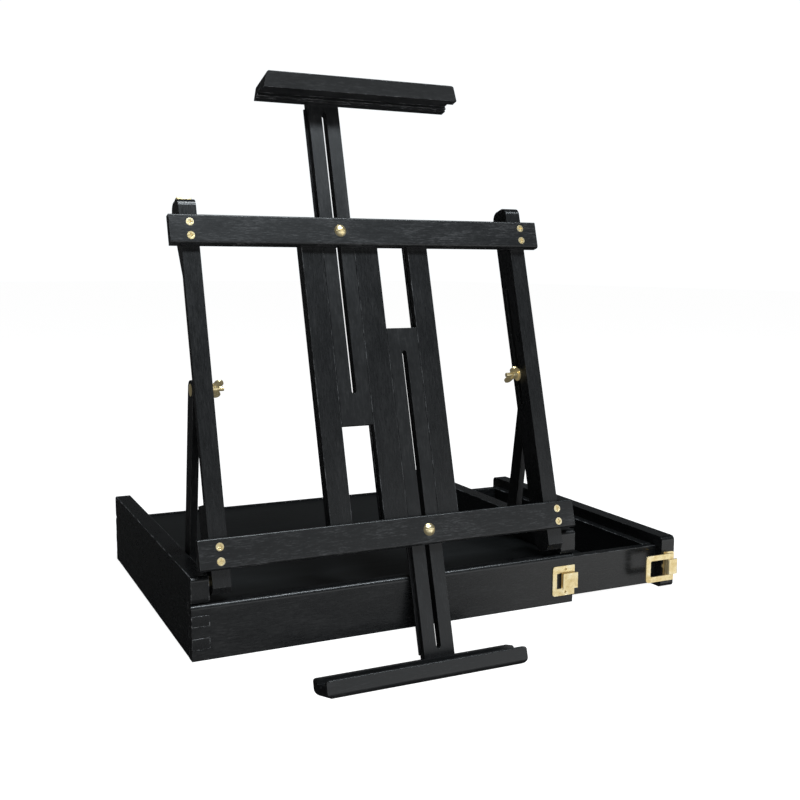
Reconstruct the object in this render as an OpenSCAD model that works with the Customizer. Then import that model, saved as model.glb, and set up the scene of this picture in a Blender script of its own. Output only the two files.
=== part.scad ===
// Tabletop sketch-box easel: a low box with a sliding drawer, and a folding frame
// that carries an upper canvas holder and a lower canvas tray on sliding masts.
// Millimetres. +X is the side the drawer opens to, +Y the back, +Z up.
// The origin is the centre of the box's underside.

/* [Box] */
// Width of the box, without the drawer's face
box_w = 400; // [380:1:420]
// Depth of the box
box_d = 358; // [356:1:366]
// Height of the left wall and of the right rail
side_h = 76; // [74:0.5:80]
// Height of the front and back walls
front_h = 51; // [50.5:0.1:52]
// Thickness of the left wall and of the right rail
side_t = 16.6; // [15:0.1:17]
// Thickness of the front and back walls
front_t = 10.5; // [9:0.1:10.5]
// Height of the deck's top face
deck_top = 49.4; // [48.8:0.1:50]
// Thickness of the deck
deck_t = 4; // [3:0.1:4.4]
// Thickness of the bottom panel
bottom_t = 2.4; // [2:0.1:2.5]

/* [Drawer] */
// How far the drawer stands open
drawer_open = 113; // [20:1:150]
// Thickness of the drawer's face board
face_t = 16.7; // [14:0.1:18]
// Height of the drawer's face board
face_h = 55.5; // [50:0.5:60]
// Thickness of the drawer's sides and ends
drawer_t = 9.5; // [8:0.1:11]
// Length of the drawer behind its face
drawer_len = 378; // [340:1:380]
// Top height of the drawer's sides and ends
drawer_top = 44.2; // [40:0.1:44.6]

/* [Frame] */
// How far the frame leans back from upright, in degrees
lean = 15.88; // [12:0.1:20]
// Width of the frame across its posts
frame_w = 363.2; // [362:0.1:364]
// Width of a post, across the frame
post_w = 16.6; // [15:0.1:18]
// Depth of a post, front to back
post_d = 26.6; // [26:0.1:27]
// Length of a post above its pivot
post_len = 348.8; // [340:0.1:349]
// Height of a post's foot below its pivot
foot_h = 9.5; // [9:0.1:10]
// Height of the frame's pivot above the box's underside
pivot_z = 67.6; // [67:0.1:68]
// Distance of the frame's pivot behind the box's front face
pivot_y = 9.3; // [9:0.1:9.6]
// Length of the crossbars
bar_len = 387; // [380:1:395]
// Height of the crossbars
bar_h = 27.8; // [26:0.1:29]
// Thickness of the crossbars
bar_t = 8.9; // [8:0.1:10]
// Width of the two outer battens
batten_w = 22; // [20:0.5:24]
// Width of the middle batten
middle_batten_w = 25; // [23:0.5:27]
// Depth of the battens
batten_d = 13.3; // [12.5:0.1:14]

/* [Masts] */
// Width of the channel that a mast slides in
channel_w = 32.5; // [32:0.1:33]
// Thickness of the masts
mast_t = 9.5; // [9:0.1:9.5]
// Width of the slot along a mast
mast_slot_w = 4.8; // [4.6:0.1:5]
// Length of the upper mast below its holder
upper_mast_len = 319; // [310:1:325]
// Length of the lower mast above the foot of its tray
lower_mast_len = 331; // [320:1:335]
// Length of the canvas holder and of the canvas tray
holder_len = 203; // [190:1:210]

/* [Struts] */
// Distance between a strut's two holes
strut_len = 170.7; // [170:0.1:171]
// Width of a strut
strut_w = 18; // [16:0.5:18]
// Thickness of a strut
strut_t = 7; // [6.5:0.1:7]
// Distance between the frame's pivot and a strut's pivot, along the box
strut_base = 78.2; // [78:0.1:78.4]

/* [Hardware] */
// Diameter of the wing nut's bolt
bolt_d = 4.6; // [4.2:0.1:4.8]
// Diameter of the bolts through the masts
mast_bolt_d = 4.2; // [4:0.1:4.4]
// Diameter of the domed bolt heads
bolt_head_d = 12; // [10:0.5:13]
// Span of a wing nut
wing_span = 24; // [20:0.5:25]
// Diameter of the wood screws' heads
screw_d = 7.4; // [6:0.1:8]

/* [Hidden] */
$fn = 48;
eps = 0.01;

// Colours of the finishes.
wood_colour = [0.05, 0.05, 0.055];
brass_colour = [0.80, 0.64, 0.32];

// Box: joints between the walls and small gaps.
finger_rows = 5;
finger_h = front_h / finger_rows;
wall_round = 5;
wall_top_round = 5;
end_round = 3;
rail_h = side_h - front_h;
deck_d = box_d - 2 * front_t;
inner_w = box_w - side_t;

// Drawer: where its boards stand when it is open as drawn.
slide_gap = 0.5;
face_gap = 0.3;
face_x = box_w + face_gap + drawer_open;
drawer_x = face_x - drawer_len;
drawer_z = bottom_t + 0.3;
drawer_y = front_t + slide_gap;
drawer_d = box_d - 2 * drawer_y;
drawer_floor_t = 3.5;
drawer_side_h = drawer_top - drawer_z;

// Frame: its own coordinates are x across from the box's left side, y back from the
// posts' front faces and z up along the posts from their feet.
post_x = (box_w - frame_w) / 2;
post_h = foot_h + post_len;
lower_bar_z = 18.7;
upper_bar_z = 311.4;
bar_x = (box_w - bar_len) / 2;
batten_z = lower_bar_z + 0.8;
batten_h = upper_bar_z + bar_h - 0.8 - batten_z;
middle_x = box_w / 2 - middle_batten_w / 2;
upper_channel_x = middle_x - channel_w;
lower_channel_x = middle_x + middle_batten_w;
tongue_y = 6.5;
tongue_t = 2.2;
tongue_w = 2.2;
fit_gap = 0.3;
mast_gap = 0.2;
mast_w = channel_w - 2 * fit_gap;
mast_back = mast_gap + mast_t;
upper_mast_x = upper_channel_x + fit_gap;
lower_mast_x = lower_channel_x + fit_gap;
holder_z = 457;
upper_mast_z = holder_z - upper_mast_len;
tray_top_z = -86.5;
tray_h = 16;
lower_mast_z = tray_top_z - tray_h + 2.5;
holder_x = 203 - holder_len / 2;
upper_bolt_z = upper_bar_z + 14.6;
lower_bolt_z = lower_bar_z + 14.1;
upper_bolt_x = upper_mast_x + mast_w / 2;
lower_bolt_x = lower_mast_x + mast_w / 2;

// Rabbets in the posts that the struts fold into, and the slots that their studs slide in.
rabbet_w = strut_t + fit_gap;
rabbet_y = 7.5;
rabbet_z = 77;
rabbet_top = 285;
rabbet_run_out = 60;
post_slot_w = 5.2;
post_slot_z = 150;
post_slot_h = 124;
post_slot_y = 17;

// Folding linkage: the stud's place along its slot, and the strut's lean, follow from
// the lean of the frame.
tilt = 90 - lean;
slot_offset = post_slot_y - post_d / 2;
strut_y = pivot_y + strut_base;
strut_z = pivot_z - slot_offset;
base_along = strut_base * cos(tilt) - slot_offset * sin(tilt);
base_behind = strut_base * sin(tilt) + slot_offset * cos(tilt);
stud_along = base_along + sqrt(pow(strut_len, 2) - pow(base_behind - slot_offset, 2));
stud_z = foot_h + stud_along;
stud_world_y = pivot_y + stud_along * sin(lean) + slot_offset * cos(lean);
strut_lean = asin((strut_y - stud_world_y) / strut_len);

// Hardware.
post_screw_len = 20;
catch_screw_d = screw_d * 0.75;
catch_screw_len = 9;
base_screw_d = screw_d * 0.6;
base_screw_len = 8;
mast_screw_d = screw_d * 0.75;
mast_screw_len = 13;
run_gap = 0.05;
pivot_d = 6;
washer_d = 13;
spacer_d = 9.5;
post_pin_stop = 3.5;
strut_pin_stop = 1.5;
washer_t = 1.2;
nut_bore_d = bolt_d + 2 * run_gap;
hub_d = 8.6;
hub_h = 6;
wing_t = 1.8;
plate_t = 1;
catch_w = 26.5;
catch_z = 8.4;
catch_h = 31.2;
latch_mid_z = catch_z + catch_h / 2;
latch_h = 30;
latch_axis_y = -3.3;
latch_axis_x = face_x + 3.5;
ring_t = 1.8;
ring_reach = 34;
ring_band = 5.9;
ring_h = 29.3;
ring_hole_h = ring_h - 2 * ring_band;
lever_h = ring_hole_h - 1;
lever_z = latch_mid_z - lever_h / 2;
hook_h = ring_hole_h - 1.2;
hook_front = 4.6;
hook_reach = 16;
pin_d = 1.6;

// Where a latch's ring turns on its lever, and how the lever's cover sits over both pins.
ring_axis_x = latch_axis_x + 5;
ring_axis_y = latch_axis_y - 2.9;
cover_t = 1.9;
cover_w = 12.5;

// ---- Helpers ----

// A rectangle with its corners rounded by [bottom left, bottom right, top right, top left].
module rounded_rect(size, radii) {
    difference() {
        square(size);
        for (i = [0 : 3]) {
            if (radii[i] > 0) corner_cut(size, radii[i], i);
        }
    }
}

// What rounding takes off one corner of a rectangle; corners are counted from bottom left.
module corner_cut(size, radius, corner) {
    right = corner == 1 || corner == 2;
    upper = corner >= 2;
    translate([right ? size[0] : 0, upper ? size[1] : 0])
        mirror([right ? 1 : 0, 0])
            mirror([0, upper ? 1 : 0])
                difference() {
                    translate([-1, -1]) square(radius + 1);
                    translate([radius, radius]) circle(radius);
                }
}

// A section drawn in (y, z), run along x.
module along_x(length) {
    rotate([90, 0, 90]) linear_extrude(length) children();
}

// A section drawn in (x, z), run along y.
module along_y(length) {
    translate([0, length, 0]) rotate([90, 0, 0]) linear_extrude(length) children();
}

// From the box's left front bottom corner to the shared origin.
module on_box() {
    translate([-box_w / 2, -box_d / 2, 0]) children();
}

// From the frame's own coordinates to the shared origin.
module on_frame() {
    on_box()
        translate([0, pivot_y, pivot_z])
            rotate([-lean, 0, 0])
                translate([0, -post_d / 2, -foot_h])
                    children();
}

// Copies a left-hand piece of the frame to the right.
module to_right() {
    translate([box_w, 0, 0]) mirror([1, 0, 0]) children();
}

// Copies a front piece of the box to the back.
module to_back() {
    translate([0, box_d, 0]) mirror([0, 1, 0]) children();
}

module rod_x(d, length) {
    rotate([0, 90, 0]) cylinder(d = d, h = length);
}

module rod_y(d, length) {
    rotate([-90, 0, 0]) cylinder(d = d, h = length);
}

// A domed bolt head with a screwdriver slot, its flat side at z = 0.
module domed_head(d, h) {
    sphere_r = (pow(d / 2, 2) + pow(h, 2)) / (2 * h);
    difference() {
        intersection() {
            translate([0, 0, h - sphere_r]) sphere(sphere_r, $fn = 64);
            cylinder(d = d, h = h + 1);
        }
        translate([-d, -0.5, h * 0.55]) cube([2 * d, 1, h]);
    }
}

// A countersunk wood screw with a cross recess, its head's face at z = 0.
module wood_screw(d, length) {
    head_h = d * 0.3;
    shank_d = d * 0.45;
    difference() {
        union() {
            translate([0, 0, -head_h]) cylinder(d1 = shank_d, d2 = d, h = head_h);
            translate([0, 0, -length]) cylinder(d = shank_d, h = length);
        }
        for (turn = [0, 90]) {
            rotate([0, 0, turn]) translate([-d * 0.3, -0.65, -1.4]) cube([d * 0.6, 1.3, 3]);
        }
    }
}

// The hole that a wood screw fills.
module screw_hole(d, length) {
    head_h = d * 0.3;
    shank_d = d * 0.45;
    translate([0, 0, -head_h]) cylinder(d1 = shank_d, d2 = d, h = head_h);
    translate([0, 0, -length]) cylinder(d = shank_d, h = length);
    cylinder(d = d, h = 1);
}

// A wing nut on a bolt along z, its seat at z = 0.
module wing_nut(bore_d) {
    wing_r = wing_span / 2;
    difference() {
        union() {
            cylinder(d = hub_d, h = hub_h);
            translate([0, wing_t / 2, 0]) rotate([90, 0, 0]) linear_extrude(wing_t) wing_outline(wing_r);
        }
        translate([0, 0, -1]) cylinder(d = bore_d, h = hub_h + 2);
    }
}

// Two rounded ears that rise from the hub.
module wing_outline(wing_r) {
    ear_r = 4.2;
    for (side = [0, 1]) {
        mirror([side, 0]) {
            translate([wing_r - ear_r, 7]) circle(ear_r);
            polygon([
                [1, 0.6], [hub_d / 2, 0.6], [wing_r - 1.2, 4], [wing_r - ear_r - 3, 10], [1, hub_h - 0.4]
            ]);
        }
    }
}

module washer(bore_d, d, t) {
    difference() {
        cylinder(d = d, h = t);
        translate([0, 0, -1]) cylinder(d = bore_d, h = t + 2);
    }
}

// ---- Box ----

// Fingers of the front and back walls that pass through the left wall.
module wall_fingers() {
    for (row = [0 : 2 : finger_rows - 1]) {
        translate([-1, -1, row * finger_h]) cube([side_t + 1, front_t + 1, finger_h]);
    }
}

// The part of the left wall above the low walls, with its long edges rounded; the rail is
// the same bar on the right.
module upper_bar() {
    translate([0, 0, front_h])
        along_x(side_t)
            rounded_rect([box_d, rail_h], [wall_round, wall_round, wall_round, wall_round]);
}

module left_wall() {
    color(wood_colour) on_box() difference() {
        union() {
            along_x(side_t) square([box_d, front_h]);
            upper_bar();
        }
        wall_fingers();
        to_back() wall_fingers();
        translate([side_t - 10, pivot_y, pivot_z]) rod_x(pivot_d, 11);
        translate([side_t - 10, strut_y, strut_z]) rod_x(bolt_d, 11);
    }
}

module right_rail() {
    color(wood_colour) on_box() difference() {
        translate([inner_w, 0, 0]) {
            upper_bar();
            translate([0, front_t, deck_top]) cube([side_t, deck_d, front_h - deck_top + wall_round]);
        }
        translate([inner_w - 1, pivot_y, pivot_z]) rod_x(pivot_d, 11);
        translate([inner_w - 1, strut_y, strut_z]) rod_x(bolt_d, 11);
    }
}

// A low wall: its fingers pass through the left wall, and the rail lies on its right end.
module low_wall() {
    difference() {
        intersection() {
            along_x(box_w) rounded_rect([front_t, front_h], [0, 0, 0, wall_top_round]);
            linear_extrude(front_h) rounded_rect([box_w, front_t], [0, end_round, 0, 0]);
        }
        for (row = [1 : 2 : finger_rows - 1]) {
            translate([-1, -1, row * finger_h]) cube([side_t + 1, front_t + 2, finger_h]);
        }
    }
}

module front_wall() {
    color(wood_colour) on_box() difference() {
        low_wall();
        catch_screws() screw_hole(catch_screw_d, catch_screw_len);
    }
}

module back_wall() {
    color(wood_colour) on_box() to_back() difference() {
        low_wall();
        catch_screws() screw_hole(catch_screw_d, catch_screw_len);
    }
}

module deck() {
    color(wood_colour) on_box()
        translate([side_t, front_t, deck_top - deck_t]) cube([inner_w, deck_d, deck_t]);
}

module bottom_panel() {
    color(wood_colour) on_box() translate([side_t, front_t, 0]) cube([inner_w, deck_d, bottom_t]);
}

// Pins from the walls into the posts' feet.
module frame_pivot_bolts() {
    pin_len = 10 + post_x - side_t + post_w - post_pin_stop;
    color(brass_colour) on_box() {
        translate([side_t - 10, pivot_y, pivot_z]) rod_x(pivot_d, pin_len);
        to_right() translate([side_t - 10, pivot_y, pivot_z]) rod_x(pivot_d, pin_len);
    }
}

// Pins from the walls into the struts' feet.
module strut_pivot_bolts() {
    pin_len = 10 + post_x - side_t + strut_t - strut_pin_stop;
    color(brass_colour) on_box() {
        translate([side_t - 10, strut_y, strut_z]) rod_x(bolt_d, pin_len);
        to_right() translate([side_t - 10, strut_y, strut_z]) rod_x(bolt_d, pin_len);
    }
}

// Washers that space the posts and the struts from the walls.
module pivot_washers() {
    spacer_t = post_x - side_t - 0.2;
    color(brass_colour) on_box() {
        for (side = [0, 1]) {
            translate([side * box_w, 0, 0]) mirror([side, 0, 0]) {
                translate([side_t, pivot_y, pivot_z])
                    rotate([0, 90, 0]) washer(pivot_d, spacer_d, spacer_t);
                translate([side_t, strut_y, strut_z])
                    rotate([0, 90, 0]) washer(bolt_d, spacer_d, spacer_t);
            }
        }
    }
}

// ---- Latches: catch plates on the box, levers and rings on the drawer ----

// Where the two screws of a catch plate go, with their heads facing forward.
module catch_screws() {
    for (z = [catch_z + 3.6, catch_z + catch_h - 3.6]) {
        translate([box_w - catch_w * 0.42, -plate_t, z]) rotate([90, 0, 0]) children();
    }
}

// A plate with a strip bent forward and back, which makes a hook that opens to the left.
module catch_plate() {
    hook_z = latch_mid_z - hook_h / 2;
    hook_w = 17.8;
    strip_t = 1.1;
    difference() {
        translate([box_w - catch_w, -plate_t, catch_z])
            along_y(plate_t) rounded_rect([catch_w, catch_h], [3, 0.5, 0.5, 3]);
        catch_screws() screw_hole(catch_screw_d, catch_screw_len);
        translate([box_w - catch_w + 5, -plate_t - 1, hook_z]) cube([6, plate_t + 2, hook_h]);
    }
    translate([box_w - hook_reach, 0, hook_z])
        linear_extrude(hook_h) difference() {
            translate([0, -hook_front]) square([hook_w, hook_front - plate_t + eps]);
            translate([-1, -hook_front + strip_t])
                square([hook_w - strip_t, hook_front - plate_t - strip_t]);
            translate([hook_reach, -plate_t - strip_t]) square([hook_w, 2]);
        }
}

module front_catch_plate() {
    color(brass_colour) on_box() catch_plate();
}

module back_catch_plate() {
    color(brass_colour) on_box() to_back() catch_plate();
}

module catch_plate_screws() {
    color(brass_colour) on_box() {
        catch_screws() wood_screw(catch_screw_d, catch_screw_len);
        to_back() catch_screws() wood_screw(catch_screw_d, catch_screw_len);
    }
}

// Where the two screws of a latch base go.
module base_screws() {
    for (z = [latch_mid_z - latch_h / 2 + 3, latch_mid_z + latch_h / 2 - 3]) {
        translate([face_x + face_t - 4, -plate_t, z]) rotate([90, 0, 0]) children();
    }
}

// The base of a latch: a plate with two lugs that hold the lever's pin.
module latch_base() {
    lug_r = 1.7;
    rivet_r = 2.2;
    rivet_t = 0.5;
    edge_gap = 2.4;
    lug_t = 1.2;
    lug_gap = 0.4;
    difference() {
        union() {
            translate([face_x + edge_gap, -plate_t, latch_mid_z - latch_h / 2])
                along_y(plate_t) rounded_rect([face_t - edge_gap - 0.6, latch_h], [1, 2.5, 2.5, 1]);
            translate([face_x + edge_gap, 0, latch_mid_z])
                rotate([90, 0, 0]) cylinder(r = rivet_r, h = plate_t + rivet_t);
            for (z = [lever_z - lug_gap - lug_t, lever_z + lever_h + lug_gap]) {
                translate([latch_axis_x, latch_axis_y, z]) {
                    cylinder(r = lug_r, h = lug_t);
                    translate([-lug_r, 0, 0]) cube([2 * lug_r, -latch_axis_y - plate_t + eps, lug_t]);
                }
            }
            translate([latch_axis_x, latch_axis_y, lever_z - lug_gap - lug_t])
                cylinder(d = pin_d, h = lever_h + 2 * (lug_gap + lug_t));
        }
        base_screws() screw_hole(base_screw_d, base_screw_len);
    }
}

module front_latch_base() {
    color(brass_colour) on_box() latch_base();
}

module back_latch_base() {
    color(brass_colour) on_box() to_back() latch_base();
}

module latch_base_screws() {
    color(brass_colour) on_box() {
        base_screws() wood_screw(base_screw_d, base_screw_len);
        to_back() base_screws() wood_screw(base_screw_d, base_screw_len);
    }
}

// The lever: two sleeves, one on the base's pin and one for the ring, joined by a cover.
module latch_lever() {
    sleeve_r = 1.7;
    heel = 0.5;
    difference() {
        union() {
            translate([latch_axis_x, latch_axis_y, lever_z]) cylinder(r = sleeve_r, h = lever_h);
            translate([ring_axis_x, ring_axis_y, lever_z]) cylinder(r = sleeve_r, h = lever_h);
            translate([latch_axis_x - heel, ring_axis_y - cover_t, lever_z])
                linear_extrude(lever_h) rounded_rect([cover_w, cover_t], [1.8, 1, 0, 0]);
            translate([latch_axis_x - heel, ring_axis_y - 1.1, lever_z])
                cube([ring_axis_x - latch_axis_x + heel, 2.2, lever_h]);
        }
        for (axis = [[latch_axis_x, latch_axis_y], [ring_axis_x, ring_axis_y]]) {
            translate([axis[0], axis[1], lever_z - 1])
                cylinder(d = pin_d + 2 * run_gap, h = lever_h + 2);
        }
    }
}

module front_latch_lever() {
    color(brass_colour) on_box() latch_lever();
}

module back_latch_lever() {
    color(brass_colour) on_box() to_back() latch_lever();
}

// The ring: a flat rectangular loop whose open end is closed by a pin through the lever.
module latch_ring() {
    ring_z = latch_mid_z - ring_h / 2;
    ring_end = 2.5;
    translate([ring_axis_x - ring_reach, ring_axis_y - ring_t / 2, ring_z])
        along_y(ring_t) difference() {
            rounded_rect([ring_reach + ring_end, ring_h], [4, 1, 1, 4]);
            translate([ring_band, ring_band])
                rounded_rect([ring_reach + ring_end, ring_hole_h], [1.5, 0, 0, 1.5]);
        }
    translate([ring_axis_x, ring_axis_y, ring_z + 2]) cylinder(d = pin_d, h = ring_h - 4);
}

module front_latch_ring() {
    color(brass_colour) on_box() latch_ring();
}

module back_latch_ring() {
    color(brass_colour) on_box() to_back() latch_ring();
}

// ---- Drawer ----

module drawer_face() {
    color(wood_colour) on_box() difference() {
        translate([face_x, 0, 0])
            along_x(face_t) rounded_rect([box_d, face_h], [4, 4, wall_round, wall_round]);
        base_screws() screw_hole(base_screw_d, base_screw_len);
        to_back() base_screws() screw_hole(base_screw_d, base_screw_len);
    }
}

module drawer_side() {
    translate([drawer_x, drawer_y, drawer_z]) cube([drawer_len, drawer_t, drawer_side_h]);
}

module drawer_front_side() {
    color(wood_colour) on_box() drawer_side();
}

module drawer_back_side() {
    color(wood_colour) on_box() to_back() drawer_side();
}

// A board between the drawer's sides.
module drawer_end(x) {
    translate([x, drawer_y + drawer_t, drawer_z])
        cube([drawer_t, drawer_d - 2 * drawer_t, drawer_side_h]);
}

module drawer_inner_end() {
    color(wood_colour) on_box() drawer_end(drawer_x);
}

module drawer_outer_end() {
    color(wood_colour) on_box() drawer_end(face_x - drawer_t);
}

module drawer_floor() {
    color(wood_colour) on_box()
        translate([drawer_x + drawer_t, drawer_y + drawer_t, drawer_z])
            cube([drawer_len - 2 * drawer_t, drawer_d - 2 * drawer_t, drawer_floor_t]);
}

// ---- Frame ----

// The side view of a post: a foot with a bevelled front and a rounded back, and a rounded top.
module post_outline() {
    below = 2;
    bevel = 5.5;
    difference() {
        translate([0, -below]) rounded_rect([post_d, post_h + below], [0, 12, 9, 8]);
        translate([0, -below]) polygon([[-1, -1], [bevel + 1, -1], [-1, bevel + 1]]);
    }
}

// The left post, in the frame's coordinates.
module post() {
    translate([post_x, 0, 0]) difference() {
        along_x(post_w) post_outline();
        translate([-1, 0, 0]) along_x(rabbet_w + 1) polygon([
            [rabbet_y, rabbet_z], [post_d + 1, rabbet_z],
            [post_d + 1, rabbet_top + rabbet_run_out], [rabbet_y, rabbet_top]
        ]);
        translate([-1, post_slot_y - post_slot_w / 2, post_slot_z + post_slot_w / 2])
            cube([post_w + 2, post_slot_w, post_slot_h - post_slot_w]);
        for (z = [post_slot_z + post_slot_w / 2, post_slot_z + post_slot_h - post_slot_w / 2]) {
            translate([-1, post_slot_y, z]) rod_x(post_slot_w, post_w + 2);
        }
        translate([-1, post_d / 2, foot_h])
            rod_x(pivot_d + 2 * run_gap, post_w + 1 + run_gap - post_pin_stop);
        translate([-post_x, 0, 0]) post_screws() screw_hole(screw_d, post_screw_len);
    }
}

// The screws that hold the crossbars to the left post.
module post_screws() {
    for (z = [lower_bar_z + 7.3, lower_bar_z + 20.1, upper_bar_z + 7.8, upper_bar_z + 20.6]) {
        translate([post_x + post_w / 2 - 1.2, -bar_t, z]) rotate([90, 0, 0]) children();
    }
}

module left_post() {
    color(wood_colour) on_frame() post();
}

module right_post() {
    color(wood_colour) on_frame() to_right() post();
}

// A small brass plate on the top end of the left post.
module post_top_plate() {
    color(brass_colour) on_frame()
        translate([post_x + 1.5, 9, post_h]) cube([post_w - 3, 8, 3]);
}

module crossbar(z, bolt_x, bolt_z) {
    difference() {
        translate([bar_x, -bar_t, z])
            along_x(bar_len) rounded_rect([bar_t, bar_h], [2.5, 0.5, 0.5, 1.5]);
        post_screws() screw_hole(screw_d, post_screw_len);
        to_right() post_screws() screw_hole(screw_d, post_screw_len);
        translate([bolt_x, -bar_t - 1, bolt_z]) rod_y(mast_bolt_d, bar_t + 2);
    }
}

module upper_crossbar() {
    color(wood_colour) on_frame() crossbar(upper_bar_z, upper_bolt_x, upper_bolt_z);
}

module lower_crossbar() {
    color(wood_colour) on_frame() crossbar(lower_bar_z, lower_bolt_x, lower_bolt_z);
}

// A groove that a mast's tongue runs in, cut into a batten's side at x.
module tongue_groove(x) {
    translate([x, tongue_y - fit_gap, batten_z - 1])
        cube([tongue_w + fit_gap, tongue_t + 2 * fit_gap, batten_h + 2]);
}

module batten(x, w) {
    translate([x, 0, batten_z]) cube([w, batten_d, batten_h]);
}

module left_batten() {
    color(wood_colour) on_frame() difference() {
        batten(upper_channel_x - batten_w, batten_w);
        tongue_groove(upper_channel_x - tongue_w - fit_gap + eps);
    }
}

module middle_batten() {
    color(wood_colour) on_frame() difference() {
        batten(middle_x, middle_batten_w);
        tongue_groove(middle_x - eps);
        tongue_groove(lower_channel_x - tongue_w - fit_gap + eps);
    }
}

module right_batten() {
    color(wood_colour) on_frame() difference() {
        batten(lower_channel_x + channel_w, batten_w);
        tongue_groove(lower_channel_x + channel_w - eps);
    }
}

module crossbar_screws() {
    color(brass_colour) on_frame() {
        post_screws() wood_screw(screw_d, post_screw_len);
        to_right() post_screws() wood_screw(screw_d, post_screw_len);
    }
}

// A bolt through a crossbar and a mast: a domed head in front, its end behind.
module clamp_bolt(x, z) {
    translate([x, -bar_t, z]) {
        rotate([90, 0, 0]) domed_head(bolt_head_d, 2.6);
        rod_y(mast_bolt_d, bar_t + mast_back + 12);
    }
}

module upper_clamp_bolt() {
    color(brass_colour) on_frame() clamp_bolt(upper_bolt_x, upper_bolt_z);
}

module lower_clamp_bolt() {
    color(brass_colour) on_frame() clamp_bolt(lower_bolt_x, lower_bolt_z);
}

// Washers behind the masts, one on each clamp bolt.
module clamp_washers() {
    color(brass_colour) on_frame() {
        translate([upper_bolt_x, mast_back + 0.1, upper_bolt_z])
            rotate([-90, 0, 0]) washer(mast_bolt_d, washer_d, washer_t);
        translate([lower_bolt_x, mast_back + 0.1, lower_bolt_z])
            rotate([-90, 0, 0]) washer(mast_bolt_d, washer_d, washer_t);
    }
}

// A wing nut behind a mast.
module clamp_nut(x, z) {
    translate([x, mast_back + 0.1 + washer_t + 0.1, z])
        rotate([-90, 0, 0]) wing_nut(mast_bolt_d + 2 * run_gap);
}

module upper_wing_nut() {
    color(brass_colour) on_frame() clamp_nut(upper_bolt_x, upper_bolt_z);
}

module lower_wing_nut() {
    color(brass_colour) on_frame() clamp_nut(lower_bolt_x, lower_bolt_z);
}

// ---- Masts ----

// A slot with round ends through a mast.
module mast_slot(x, z0, z1) {
    r = mast_slot_w / 2;
    translate([x - r, -1, z0 + r]) cube([mast_slot_w, mast_t + 3, z1 - z0 - mast_slot_w]);
    for (z = [z0 + r, z1 - r]) translate([x, -1, z]) rod_y(mast_slot_w, mast_t + 3);
}

// A mast with a tongue down each side.
module mast(x, z, length) {
    translate([x, mast_gap, z]) cube([mast_w, mast_t, length]);
    translate([x - tongue_w, tongue_y, z]) cube([mast_w + 2 * tongue_w, tongue_t, length]);
}

// How deep the holder and the tray reach back over a mast's front.
seat_back = 2.5;

module upper_mast() {
    top = holder_z + 13;
    color(wood_colour) on_frame() difference() {
        mast(upper_mast_x, upper_mast_z, top - upper_mast_z);
        mast_slot(upper_bolt_x, upper_mast_z + 30.4, holder_z - 7.5);
        translate([upper_mast_x - 5, -1, holder_z]) cube([mast_w + 10, seat_back + 1, 20]);
        translate([upper_mast_x - 5, -1, holder_z - 3]) cube([5, mast_t + 3, 20]);
        translate([upper_mast_x + mast_w, -1, holder_z - 3]) cube([5, mast_t + 3, 20]);
        holder_screw_places() screw_hole(mast_screw_d, mast_screw_len);
    }
}

module lower_mast() {
    color(wood_colour) on_frame() difference() {
        mast(lower_mast_x, lower_mast_z, lower_mast_len);
        mast_slot(lower_bolt_x, tray_top_z + 7.5, lower_mast_z + lower_mast_len - 22.4);
        translate([lower_mast_x - 5, -1, lower_mast_z - 1])
            cube([mast_w + 10, seat_back + 1, tray_top_z - lower_mast_z + 1]);
        translate([lower_mast_x - 5, -1, lower_mast_z - 1])
            cube([5, mast_t + 3, tray_top_z - lower_mast_z + 4]);
        translate([lower_mast_x + mast_w, -1, lower_mast_z - 1])
            cube([5, mast_t + 3, tray_top_z - lower_mast_z + 4]);
        tray_screw_places() screw_hole(mast_screw_d, mast_screw_len);
    }
}

// The section of the canvas holder, drawn from the back of its seat: a rail with a
// stepped groove underneath that takes the canvas's top edge.
holder_front = -34;
module holder_section() {
    difference() {
        polygon([
            [seat_back, 0], [seat_back, 12], [0, 15.4], [holder_front + 1.2, 15.4],
            [holder_front, 14.2], [holder_front + 3, 0]
        ]);
        translate([-20, -1]) square([12, 5.5]);
        translate([-22.5, -1]) square([17, 2.6]);
    }
}

module canvas_holder() {
    color(wood_colour) on_frame() intersection() {
        translate([holder_x, 0, holder_z]) difference() {
            along_x(holder_len) holder_section();
            translate([-holder_x, 0, -holder_z])
                holder_screw_places() screw_hole(mast_screw_d, mast_screw_len);
        }
        translate([holder_x, seat_back, holder_z]) rotate([90, 0, 0])
            linear_extrude(seat_back - holder_front) polygon([
                [0, -1], [0, 1], [3, 13.4], [5, 15.4],
                [holder_len - 5, 15.4], [holder_len - 3, 13.4], [holder_len, 1], [holder_len, -1]
            ]);
    }
}

// Screws from behind the upper mast into the holder.
module holder_screw_places() {
    for (x = [-9, 9]) {
        translate([upper_bolt_x + x, mast_back, holder_z + 6.5]) rotate([-90, 0, 0]) children();
    }
}

module holder_screws() {
    color(brass_colour) on_frame() holder_screw_places() wood_screw(mast_screw_d, mast_screw_len);
}

// The section of the canvas tray: a channel with a narrow groove in its floor.
tray_front = -33;
module tray_section() {
    tray_d = seat_back - tray_front;
    floor_z = 11.5;
    groove_h = 3;
    difference() {
        translate([tray_front, 0]) rounded_rect([tray_d, tray_h], [5, 8, 1, 1]);
        translate([tray_front + 4, floor_z]) square([20, tray_h]);
        translate([tray_front + 14.5, floor_z - groove_h]) square([4.5, groove_h + 1]);
    }
}

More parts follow.
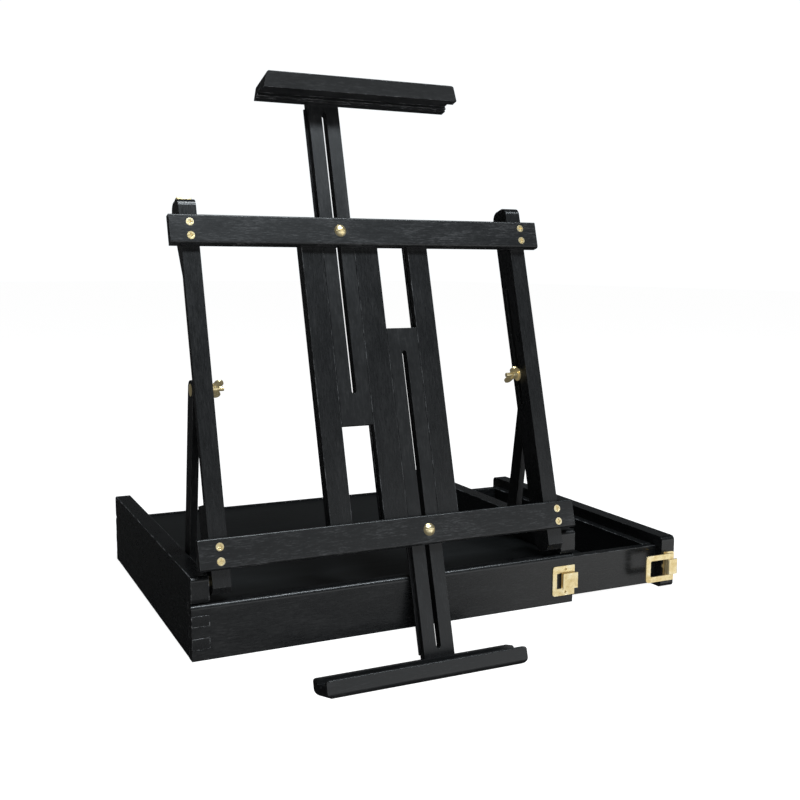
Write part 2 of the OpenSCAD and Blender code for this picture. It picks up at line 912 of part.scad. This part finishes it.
module canvas_tray() {
    color(wood_colour) on_frame() intersection() {
        translate([holder_x, 0, tray_top_z - tray_h]) difference() {
            along_x(holder_len) tray_section();
            translate([-holder_x, 0, tray_h - tray_top_z])
                tray_screw_places() screw_hole(mast_screw_d, mast_screw_len);
        }
        translate([holder_x, seat_back, tray_top_z - tray_h]) rotate([90, 0, 0])
            linear_extrude(seat_back - tray_front)
                rounded_rect([holder_len, tray_h], [6, 6, 3, 3]);
    }
}

// Screws from behind the lower mast into the tray.
module tray_screw_places() {
    for (x = [-9, 9]) {
        translate([lower_bolt_x + x, mast_back, tray_top_z - 8]) rotate([-90, 0, 0]) children();
    }
}

module tray_screws() {
    color(brass_colour) on_frame() tray_screw_places() wood_screw(mast_screw_d, mast_screw_len);
}

// ---- Struts ----

// The left strut, leaning forward from its pin to the post's slot.
module strut() {
    r = strut_w / 2;
    translate([post_x, strut_y, strut_z]) rotate([strut_lean, 0, 0]) difference() {
        union() {
            translate([0, -r, 0]) cube([strut_t, strut_w, strut_len]);
            rod_x(strut_w, strut_t);
            translate([0, 0, strut_len]) rod_x(strut_w, strut_t);
        }
        translate([-1, 0, 0])
            rod_x(bolt_d + 2 * run_gap, strut_t + 1 + run_gap - strut_pin_stop);
        translate([-1, 0, strut_len]) rod_x(bolt_d, strut_t + 2);
    }
}

module left_strut() {
    color(wood_colour) on_box() strut();
}

module right_strut() {
    color(wood_colour) on_box() to_right() strut();
}

// The flat domed head of the bolt through the strut's top, with its neck in the strut.
module strut_bolt_head() {
    translate([post_x, strut_y, strut_z]) rotate([strut_lean, 0, 0]) translate([0, 0, strut_len]) {
        rotate([0, -90, 0]) intersection() {
            translate([0, 0, 1.2 - 15]) sphere(15, $fn = 64);
            cylinder(d = bolt_head_d, h = 2);
        }
        rod_x(bolt_d, strut_t);
    }
}

module left_strut_bolt_head() {
    color(brass_colour) on_box() strut_bolt_head();
}

module right_strut_bolt_head() {
    color(brass_colour) on_box() to_right() strut_bolt_head();
}

// The threaded end of the strut's bolt in the post's slot, with the washer under the nut.
module stud() {
    start = rabbet_w + 0.1;
    seat = post_w + 0.1;
    translate([post_x, post_slot_y, stud_z]) {
        translate([start, 0, 0]) rod_x(bolt_d, seat - start + washer_t + 13);
        translate([seat, 0, 0]) rotate([0, 90, 0]) cylinder(d = washer_d, h = washer_t);
    }
}

module left_stud() {
    color(brass_colour) on_frame() stud();
}

module right_stud() {
    color(brass_colour) on_frame() to_right() stud();
}

// The wing nut on the stud, turned so that its wings stand across the post.
module strut_nut() {
    translate([post_x + post_w + 0.1 + washer_t + 0.1, post_slot_y, stud_z])
        rotate([0, 90, 0]) rotate([0, 0, 60]) wing_nut(nut_bore_d);
}

module left_wing_nut() {
    color(brass_colour) on_frame() strut_nut();
}

module right_wing_nut() {
    color(brass_colour) on_frame() to_right() strut_nut();
}

left_wall();
right_rail();
front_wall();
back_wall();
deck();
bottom_panel();
frame_pivot_bolts();
strut_pivot_bolts();
pivot_washers();
front_catch_plate();
back_catch_plate();
catch_plate_screws();
drawer_face();
drawer_front_side();
drawer_back_side();
drawer_inner_end();
drawer_outer_end();
drawer_floor();
front_latch_base();
back_latch_base();
latch_base_screws();
front_latch_lever();
back_latch_lever();
front_latch_ring();
back_latch_ring();
left_post();
right_post();
post_top_plate();
upper_crossbar();
lower_crossbar();
left_batten();
middle_batten();
right_batten();
crossbar_screws();
upper_clamp_bolt();
lower_clamp_bolt();
clamp_washers();
upper_wing_nut();
lower_wing_nut();
upper_mast();
canvas_holder();
holder_screws();
lower_mast();
canvas_tray();
tray_screws();
left_strut();
right_strut();
left_strut_bolt_head();
right_strut_bolt_head();
left_stud();
right_stud();
left_wing_nut();
right_wing_nut();
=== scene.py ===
"""Looks of the tabletop easel: black lacquered wood, brass, a table, light and a camera."""

import math

import bpy
from mathutils import Matrix, Vector


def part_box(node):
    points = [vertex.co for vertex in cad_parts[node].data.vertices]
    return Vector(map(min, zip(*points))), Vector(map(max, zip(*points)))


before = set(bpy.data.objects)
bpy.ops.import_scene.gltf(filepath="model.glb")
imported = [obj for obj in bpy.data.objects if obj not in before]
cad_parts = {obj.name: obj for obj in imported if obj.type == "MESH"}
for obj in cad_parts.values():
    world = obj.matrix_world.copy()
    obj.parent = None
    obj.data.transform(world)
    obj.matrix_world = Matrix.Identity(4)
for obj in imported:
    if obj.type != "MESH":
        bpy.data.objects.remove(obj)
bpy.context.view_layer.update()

MM = 0.001

# Which way each board's grain runs.
FRAME_LEAN = math.radians(15.88)
STRUT_LEAN = math.radians(9.26)
ACROSS = Vector((1, 0, 0))
DEEP = Vector((0, 1, 0))
UP_FRAME = Vector((0, math.sin(FRAME_LEAN), math.cos(FRAME_LEAN)))
UP_STRUT = Vector((0, -math.sin(STRUT_LEAN), math.cos(STRUT_LEAN)))

# Boards by grain direction, and the brass pieces, as the CAD nodes are named.
WALLS_ACROSS = ["front_wall", "back_wall", "drawer_front_side", "drawer_back_side"]
WALLS_DEEP = ["left_wall", "right_rail", "drawer_face", "drawer_inner_end", "drawer_outer_end"]
PANELS = ["deck", "bottom_panel", "drawer_floor"]
POSTS = ["left_post", "right_post"]
BARS = ["upper_crossbar", "lower_crossbar"]
BATTENS = ["left_batten", "middle_batten", "right_batten"]
MASTS = ["upper_mast", "lower_mast"]
RAILS = ["canvas_holder", "canvas_tray"]
STRUTS = ["left_strut", "right_strut"]
LATCH_PLATES = [
    "front_catch_plate", "back_catch_plate", "front_latch_base", "back_latch_base",
    "front_latch_lever", "back_latch_lever", "front_latch_ring", "back_latch_ring",
]
SCREWS = [
    "catch_plate_screws", "latch_base_screws", "crossbar_screws", "holder_screws", "tray_screws",
    "upper_clamp_bolt", "lower_clamp_bolt", "left_strut_bolt_head", "right_strut_bolt_head",
    "left_stud", "right_stud",
]
NUTS_AND_PLATE = [
    "left_wing_nut", "right_wing_nut", "upper_wing_nut", "lower_wing_nut", "post_top_plate",
]
HIDDEN_PINS = ["frame_pivot_bolts", "strut_pivot_bolts", "pivot_washers", "clamp_washers"]

# How the CAD nodes are cleaned and rounded.
WELD_GAP = 0.01 * MM
FLAT_ANGLE = math.radians(0.5)
SHARP_ANGLE = math.radians(35)
ROUNDING_STEPS = 2

# Roughness of the lacquer: satin on the box, posts and battens, duller on the rest of the wood,
# and smooth in the clear top coat.
SATIN = 0.24
DULL_SATIN = 0.3
COAT_ROUGH = 0.12

# The camera, as the easel is seen. Its lens is in millimetres.
CAMERA_PLACE = Vector((-0.40926, -1.04294, 0.34355))
CAMERA_YAW = math.radians(25.354)
CAMERA_PITCH = math.radians(7.306)
CAMERA_ROLL = math.radians(0.194)
CAMERA_LENS = 46.676
CAMERA_SENSOR = 36.0

# The table that the box stands on, with the tray hanging in front of its edge.
EDGE_GAP = 4 * MM
EDGE_ROUND = 3 * MM
EDGE_STEPS = 6
TABLE_WIDTH = 24.0
TABLE_DEPTH = 24.0
TABLE_HEIGHT = 0.75
TABLE_GLOW = 0.98

# The room: its tint, and how bright the camera sees it.
ROOM_TINT = (0.96, 0.985, 1.0, 1.0)
ROOM_WHITE = 1.05

# Softboxes: name, place, target, width, height, watts and colour. front_low lies below the
# table's top, where the latches mirror it.
SOFTBOXES = [
    ("front_top", (0.55, -1.5, 2.3), (0.0, -0.15, 0.05), 2.0, 0.16, 50, (0.86, 0.94, 1.0)),
    ("front_low", (1.33, -1.6, -0.47), (0.25, -0.18, 0.02), 0.7, 0.5, 0.8, (1.0, 0.98, 0.94)),
    ("overhead", (0.3, -0.5, 2.2), (0.0, 0.0, 0.1), 0.7, 0.25, 20, (0.90, 0.96, 1.0)),
    ("back_top", (-0.45, 1.5, 1.6), (-0.1, 0.0, 0.1), 0.6, 0.35, 2.5, (0.92, 0.97, 1.0)),
]


# ---- Shader nodes ----

def node(tree, kind, settings, inputs):
    """Adds a shader node. An input that is a socket is linked; any other is a plain value."""
    made = tree.nodes.new("ShaderNode" + kind)
    for name, value in settings.items():
        setattr(made, name, value)
    for name, value in inputs.items():
        if isinstance(value, bpy.types.NodeSocket):
            tree.links.new(value, made.inputs[name])
        else:
            made.inputs[name].default_value = value
    return made


def material(name):
    """A new material with its tree and its empty surface shader."""
    made = bpy.data.materials.new(name)
    made.use_nodes = True
    return made, made.node_tree, made.node_tree.nodes["Principled BSDF"]


def grain_space(tree, grain, length, width):
    """Object coordinates turned so that x runs along the grain, in units of one streak."""
    coords = node(tree, "TexCoord", {}, {})
    turn = ACROSS.rotation_difference(grain).to_euler()
    return node(tree, "Mapping", {"vector_type": "TEXTURE"}, {
        "Vector": coords.outputs["Object"], "Rotation": turn, "Scale": (length, width, width),
    }).outputs["Vector"]


def noise(tree, space, detail, rough):
    """A value from 0 to 1 that wanders over space."""
    return node(tree, "TexNoise", {}, {
        "Vector": space, "Scale": 1.0, "Detail": detail, "Roughness": rough,
    }).outputs["Fac"]


def remap(tree, value, low, high, to_low, to_high):
    """value from low..high to to_low..to_high, held at the ends."""
    return node(tree, "MapRange", {}, {
        "Value": value, "From Min": low, "From Max": high, "To Min": to_low, "To Max": to_high,
    }).outputs["Result"]


def combine(tree, operation, first, second):
    """Arithmetic on two values, each a socket or a number."""
    made = tree.nodes.new("ShaderNodeMath")
    made.operation = operation
    for socket, value in zip(made.inputs, (first, second)):
        if isinstance(value, bpy.types.NodeSocket):
            tree.links.new(value, socket)
        else:
            socket.default_value = value
    return made.outputs[0]


def ramp(tree, value, stops):
    """Colours at positions along value, each stop a (position, (r, g, b))."""
    made = node(tree, "ValToRGB", {}, {"Fac": value})
    elements = made.color_ramp.elements
    while len(elements) < len(stops):
        elements.new(1.0)
    for element, (position, colour) in zip(elements, stops):
        element.position = position
        element.color = (*colour, 1.0)
    return made.outputs["Color"]


def bump(tree, height, distance, strength, under=None):
    """A normal bumped by height, on top of the normal under if there is one."""
    inputs = {"Height": height, "Distance": distance, "Strength": strength}
    if under is not None:
        inputs["Normal"] = under
    return node(tree, "Bump", {}, inputs).outputs["Normal"]


# ---- Materials ----

def black_wood(name, grain, contrast, rough=DULL_SATIN):
    """Black lacquer over open-grained wood: fine streaks and pores along the grain.

    contrast is how far the streaks stand out, in colour and in relief.
    """
    made, tree, shader = material(name)
    streaks = noise(tree, grain_space(tree, grain, 9 * MM, 1.1 * MM), 3.0, 0.6)
    pores = noise(tree, grain_space(tree, grain, 3 * MM, 0.45 * MM), 2.0, 0.55)
    clouds = noise(tree, grain_space(tree, grain, 38 * MM, 14 * MM), 3.0, 0.55)
    flecks = combine(tree, "ADD", combine(tree, "MULTIPLY", streaks, 0.6),
                     combine(tree, "MULTIPLY", pores, 0.4))
    patchy = combine(tree, "ADD", flecks, combine(tree, "MULTIPLY", clouds, 0.35))
    dark = (0.0050, 0.0054, 0.0058)
    plain = (0.0075, 0.0080, 0.0085)
    light = 0.008 + 0.024 * contrast
    pale = (light, light * 1.01, light * 1.04)
    colour = ramp(tree, patchy, [(0.50, dark), (0.70, plain), (0.86, pale)])
    tree.links.new(colour, shader.inputs["Base Color"])
    tree.links.new(remap(tree, patchy, 0.5, 0.9, rough, rough + 0.12), shader.inputs["Roughness"])
    tree.links.new(bump(tree, flecks, 0.25 * MM, 0.2 * contrast), shader.inputs["Normal"])
    shader.inputs["Specular IOR Level"].default_value = 0.36
    lacquer(shader, 0.1)
    return made


def lacquer(shader, weight):
    """A clear top coat, which gives the rounded edges their crisp bright lines."""
    shader.inputs["Coat Weight"].default_value = weight
    shader.inputs["Coat Roughness"].default_value = COAT_ROUGH


def worn_and_highlit_edge(name, grain, wear_and_highlight):
    """The lacquer along an edge: shinier where it rounds over, paler than the faces, and paler
    still where it is worn thin in places. The paleness is partly worn lacquer and partly a
    painted highlight along the edge.

    The last argument is how pale the worn places are, from worn lacquer and painted highlight.
    """
    made, tree, shader = material(name)
    patches = noise(tree, grain_space(tree, grain, 16 * MM, 5 * MM), 4.0, 0.7)
    # Edge colours, whole to worn: paler than the faces, partly worn lacquer and partly painted
    # highlight.
    whole = (0.010, 0.0105, 0.0112)
    thin = (0.03, 0.0305, 0.0315)
    light = 0.02 + 0.12 * wear_and_highlight
    rubbed_and_highlit = (light, light * 1.02, light * 1.05)
    colour = ramp(tree, patches, [(0.36, whole), (0.48, thin), (0.62, rubbed_and_highlit)])
    tree.links.new(colour, shader.inputs["Base Color"])
    tree.links.new(remap(tree, patches, 0.4, 0.7, 0.2, 0.36), shader.inputs["Roughness"])
    lacquer(shader, 0.3)
    return made


def black_panel(name):
    """Black-painted plywood with a faint long grain."""
    made, tree, shader = material(name)
    streaks = noise(tree, grain_space(tree, ACROSS, 60 * MM, 2.2 * MM), 4.0, 0.6)
    dark = (0.0060, 0.0068, 0.0070)
    pale = (0.0120, 0.0130, 0.0132)
    colour = ramp(tree, streaks, [(0.35, dark), (0.7, pale)])
    tree.links.new(colour, shader.inputs["Base Color"])
    tree.links.new(remap(tree, streaks, 0.3, 0.7, 0.3, 0.4), shader.inputs["Roughness"])
    tree.links.new(bump(tree, streaks, 0.1 * MM, 0.3), shader.inputs["Normal"])
    return made


def brass(name, rough, glow):
    """Pale polished brass with soft tarnish and faint waves from pressing.

    glow stands for the bright room that a small rounded piece would mirror all around it; it is a
    painted reflection, given as emission.
    """
    made, tree, shader = material(name)
    shader.inputs["Metallic"].default_value = 1.0
    tarnish = noise(tree, grain_space(tree, ACROSS, 7 * MM, 7 * MM), 4.0, 0.6)
    grit = noise(tree, grain_space(tree, ACROSS, 0.6 * MM, 0.25 * MM), 2.0, 0.5)
    tarnished = (0.72, 0.55, 0.25)
    plain = (0.91, 0.76, 0.43)
    polished = (0.97, 0.88, 0.62)
    colour = ramp(tree, tarnish, [(0.3, tarnished), (0.5, plain), (0.7, polished)])
    tree.links.new(colour, shader.inputs["Base Color"])
    # Painted reflection: a cream emission whose strength is glow.
    shader.inputs["Emission Color"].default_value = (0.95, 0.80, 0.45, 1.0)
    shader.inputs["Emission Strength"].default_value = glow
    tree.links.new(remap(tree, grit, 0.3, 0.7, rough, rough + 0.12), shader.inputs["Roughness"])
    waves = bump(tree, tarnish, 0.3 * MM, 0.25)
    tree.links.new(bump(tree, grit, 0.05 * MM, 0.2, waves), shader.inputs["Normal"])
    return made


def pale_paint(name):
    """The table: a matt paint with a glow of its own, so that it stays nearly white all over."""
    made, tree, shader = material(name)
    mottle = noise(tree, grain_space(tree, ACROSS, 300 * MM, 300 * MM), 2.0, 0.5)
    colour = ramp(tree, mottle, [(0.3, (0.24, 0.24, 0.24)), (0.7, (0.26, 0.26, 0.26))])
    tree.links.new(colour, shader.inputs["Base Color"])
    shader.inputs["Roughness"].default_value = 0.9
    shader.inputs["Specular IOR Level"].default_value = 0.0
    shader.inputs["Emission Color"].default_value = (1.0, 1.0, 1.0, 1.0)
    shader.inputs["Emission Strength"].default_value = TABLE_GLOW
    return made


# ---- Pieces ----

def soften(names, width, surface, edge=None):
    """Gives CAD nodes a material and rounds their sharp edges by width, edge being on those."""
    for name in names:
        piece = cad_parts[name]
        piece.data.materials.clear()
        piece.data.materials.append(surface)
        piece.data.materials.append(edge or surface)
        join = piece.modifiers.new("join", "WELD")
        join.merge_threshold = WELD_GAP
        flat = piece.modifiers.new("flat", "DECIMATE")
        flat.decimate_type = "DISSOLVE"
        flat.angle_limit = FLAT_ANGLE
        rounding = piece.modifiers.new("rounding", "BEVEL")
        rounding.width = width
        rounding.segments = ROUNDING_STEPS
        rounding.limit_method = "ANGLE"
        rounding.angle_limit = SHARP_ANGLE
        rounding.material = 1
        weighted = piece.modifiers.new("shading", "WEIGHTED_NORMAL")
        weighted.keep_sharp = False
        for face in piece.data.polygons:
            face.use_smooth = True


def box_and_drawer():
    """The walls, the rail, the drawer's boards and the panels."""
    across = black_wood("wood_across", ACROSS, 0.5, SATIN)
    deep = black_wood("wood_deep", DEEP, 0.25, SATIN)
    soften(WALLS_ACROSS, 0.5 * MM, across, worn_and_highlit_edge("edge_across", ACROSS, 0.5))
    soften(WALLS_DEEP, 0.6 * MM, deep, worn_and_highlit_edge("edge_deep", DEEP, 1.6))
    soften(PANELS, 0.3 * MM, black_panel("panel"))


def folding_frame():
    """The posts, crossbars and battens."""
    upright = black_wood("wood_upright", UP_FRAME, 0.3, SATIN)
    bars = black_wood("wood_bars", ACROSS, 1.3)
    soften(POSTS + BATTENS, 0.6 * MM, upright, worn_and_highlit_edge("edge_upright", UP_FRAME, 0.7))
    soften(BARS, 0.75 * MM, bars, worn_and_highlit_edge("edge_bars", ACROSS, 3.5))


def masts_and_rails():
    """The two masts, the canvas holder and the canvas tray."""
    upright = black_wood("wood_masts", UP_FRAME, 0.5)
    across = black_wood("wood_rails", ACROSS, 0.5)
    soften(MASTS, 0.45 * MM, upright, worn_and_highlit_edge("edge_masts", UP_FRAME, 0.3))
    soften(RAILS, 0.5 * MM, across, worn_and_highlit_edge("edge_rails", ACROSS, 3.5))


def struts():
    """The two struts, barely worn, with little painted highlight on their edges."""
    wood = black_wood("wood_struts", UP_STRUT, 0.5)
    soften(STRUTS, 0.6 * MM, wood, worn_and_highlit_edge("edge_struts", UP_STRUT, 0.2))


def hardware():
    """The latches, screws, bolts, nuts and washers."""
    # The last number of each brass is the strength of its painted reflection.
    soften(LATCH_PLATES, 0.4 * MM, brass("brass_plates", 0.26, 0.05))
    soften(SCREWS, 0.15 * MM, brass("brass_screws", 0.24, 0.12))
    soften(NUTS_AND_PLATE, 0.3 * MM, brass("brass_nuts", 0.3, 0.12))
    soften(HIDDEN_PINS, 0.2 * MM, brass("brass_dull", 0.5, 0.0))


# ---- Stage, light and camera ----

def table():
    """A pale table with a rounded front edge just in front of the box.

    The lacquer and the brass don't mirror it, so that the wood stays black.
    """
    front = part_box("front_wall")[0][1] - EDGE_GAP
    half = TABLE_WIDTH / 2
    section = [(front + TABLE_DEPTH, 0.0)]
    for i in range(EDGE_STEPS + 1):
        turn = math.radians(90 * i / EDGE_STEPS)
        section.append((front + EDGE_ROUND * (1 - math.sin(turn)),
                        EDGE_ROUND * (math.cos(turn) - 1)))
    section.append((front, -TABLE_HEIGHT))
    section.append((front - TABLE_DEPTH, -TABLE_HEIGHT))
    points = [(x, y, z) for x in (-half, half) for y, z in section]
    count = len(section)
    faces = [(i, i + 1, count + i + 1, count + i) for i in range(count - 1)]
    mesh = bpy.data.meshes.new("table")
    mesh.from_pydata(points, [], faces)
    made = bpy.data.objects.new("table", mesh)
    bpy.context.scene.collection.objects.link(made)
    mesh.materials.append(pale_paint("pale_table"))
    made.visible_glossy = False


def softbox(name, place, target, width, height, watts, colour):
    """A rectangular light that faces target and doesn't show itself."""
    data = bpy.data.lights.new(name, "AREA")
    data.shape = "RECTANGLE"
    data.size = width
    data.size_y = height
    data.energy = watts
    data.color = colour
    made = bpy.data.objects.new(name, data)
    bpy.context.scene.collection.objects.link(made)
    facing = (Vector(target) - Vector(place)).to_track_quat("-Z", "Y")
    made.matrix_world = Matrix.Translation(place) @ facing.to_matrix().to_4x4()
    made.visible_camera = False


def studio():
    """A room that is white to look at but lights the easel dimly, and the softboxes.

    Its light comes from the horizon, in front and to the right, and fades behind, to the left,
    overhead and underneath.
    """
    world = bpy.data.worlds.new("studio")
    bpy.context.scene.world = world
    world.use_nodes = True
    tree = world.node_tree
    tree.nodes.clear()
    ways = node(tree, "TexCoord", {}, {}).outputs["Generated"]
    split = node(tree, "SeparateXYZ", {}, {"Vector": ways})
    right = remap(tree, split.outputs["X"], -0.6, 0.6, 0.02, 0.95)
    ahead = remap(tree, split.outputs["Y"], -0.85, -0.1, 1.0, 0.06)
    rise = remap(tree, split.outputs["Z"], -0.4, 0.05, 0.12, 2.1)
    fall = remap(tree, split.outputs["Z"], 0.08, 0.32, 1.0, 0.06)
    glow = combine(tree, "MULTIPLY", combine(tree, "MULTIPLY", right, ahead),
                   combine(tree, "MULTIPLY", rise, fall))
    looked_at = node(tree, "LightPath", {}, {}).outputs["Is Camera Ray"]
    strength = combine(tree, "MAXIMUM", glow, combine(tree, "MULTIPLY", looked_at, ROOM_WHITE))
    shine = node(tree, "Background", {}, {"Color": ROOM_TINT, "Strength": strength})
    out = tree.nodes.new("ShaderNodeOutputWorld")
    tree.links.new(shine.outputs["Background"], out.inputs["Surface"])
    for box in SOFTBOXES:
        softbox(*box)


def camera():
    """The camera at the photograph's viewing angle."""
    data = bpy.data.cameras.new("camera")
    data.lens = CAMERA_LENS
    data.sensor_width = CAMERA_SENSOR
    data.clip_start = 0.01
    data.clip_end = 100.0
    made = bpy.data.objects.new("camera", data)
    bpy.context.scene.collection.objects.link(made)
    made.matrix_world = (
        Matrix.Translation(CAMERA_PLACE)
        @ Matrix.Rotation(-CAMERA_YAW, 4, "Z")
        @ Matrix.Rotation(math.pi / 2 - CAMERA_PITCH, 4, "X")
        @ Matrix.Rotation(CAMERA_ROLL, 4, "Z")
    )
    bpy.context.scene.camera = made


box_and_drawer()
folding_frame()
masts_and_rails()
struts()
hardware()
table()
studio()
camera()
bpy.context.scene.view_settings.view_transform = "Standard"
